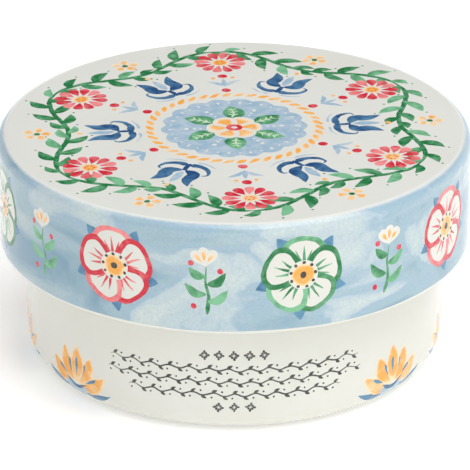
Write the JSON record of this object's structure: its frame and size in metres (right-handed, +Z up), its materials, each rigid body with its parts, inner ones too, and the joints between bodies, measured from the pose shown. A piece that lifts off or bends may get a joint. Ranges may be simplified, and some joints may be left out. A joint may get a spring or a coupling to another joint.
{
  "type": "camembert baker",
  "caption": "Round glazed ceramic baker for one soft cheese: a straight-sided dish on a foot ring and a flat-topped lid whose skirt slips down over the dish.",
  "frame": {"origin": "middle of the foot ring's plane, on the table under the dish's axis", "axes": "+Z up the axis of the dish and lid; -Y is the decorated front that faces the camera"},
  "size_m": [0.135, 0.135, 0.0672],
  "materials": {
    "lid_glaze": "white glaze with painted ornament under it: a pale blue wash round the skirt, and a white top with blue, green, red and yellow brushwork; glossy",
    "dish_glaze": "white glaze with yellow and blue fans painted round the heel; glossy, and left bare on the foot ring"
  },
  "bodies": {
    "root": {"dish": "dish_glaze", "lid": "lid_glaze"}
  },
  "joints": []
}
